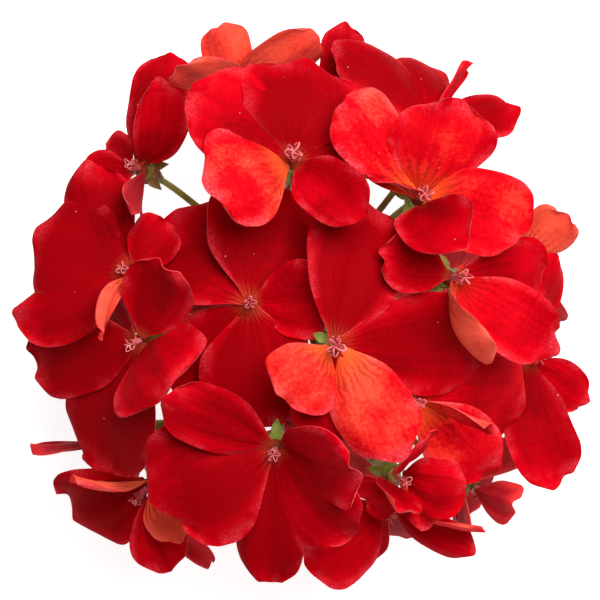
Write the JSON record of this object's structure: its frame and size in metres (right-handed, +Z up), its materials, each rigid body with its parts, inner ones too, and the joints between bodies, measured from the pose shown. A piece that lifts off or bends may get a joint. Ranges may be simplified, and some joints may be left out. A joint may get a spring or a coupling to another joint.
{
  "type": "zonal geranium flower head",
  "caption": "Round head of scarlet geranium blooms on thin green pedicels from one hub, cut with a short stalk, lying on its lowest petals.",
  "frame": {"origin": "on the surface that the flower head lies on, below the middle of its bounding box", "axes": "+Z up, out of the top of the dome; +X to the picture's right and +Y to its top for a viewer who looks straight down on the dome"},
  "size_m": [0.1164, 0.1141, 0.0816],
  "materials": {
    "red_petal": "velvety",
    "green_stem": "matte",
    "pink_stamen": "matte"
  },
  "bodies": {
    "root": {"flower_stalk": "green_stem", "bloom_a": "red_petal", "bloom_b": "red_petal", "bloom_c": "red_petal", "bloom_d": "red_petal", "bloom_e": "red_petal", "bloom_f": "red_petal", "bloom_g": "red_petal", "bloom_h": "red_petal", "bloom_j": "red_petal", "bloom_k": "red_petal", "bloom_l": "red_petal", "bloom_m": "red_petal", "bloom_n": "red_petal", "bloom_p": "red_petal", "bloom_q": "red_petal", "bloom_r": "red_petal", "bloom_s": "red_petal", "bloom_t": "red_petal", "bloom_u": "red_petal", "bloom_v": "red_petal", "bloom_w": "red_petal", "bloom_x": "red_petal", "bloom_y": "red_petal", "bloom_z": "red_petal", "column_a": "pink_stamen", "column_b": "pink_stamen", "column_c": "pink_stamen", "column_d": "pink_stamen", "column_e": "pink_stamen", "column_f": "pink_stamen", "column_g": "pink_stamen", "column_h": "pink_stamen", "column_j": "pink_stamen", "column_k": "pink_stamen", "column_l": "pink_stamen", "column_m": "pink_stamen", "column_n": "pink_stamen", "column_p": "pink_stamen", "column_q": "pink_stamen", "column_r": "pink_stamen", "column_s": "pink_stamen", "column_t": "pink_stamen", "column_u": "pink_stamen", "column_v": "pink_stamen", "column_w": "pink_stamen", "column_x": "pink_stamen", "column_y": "pink_stamen", "column_z": "pink_stamen"}
  },
  "joints": []
}
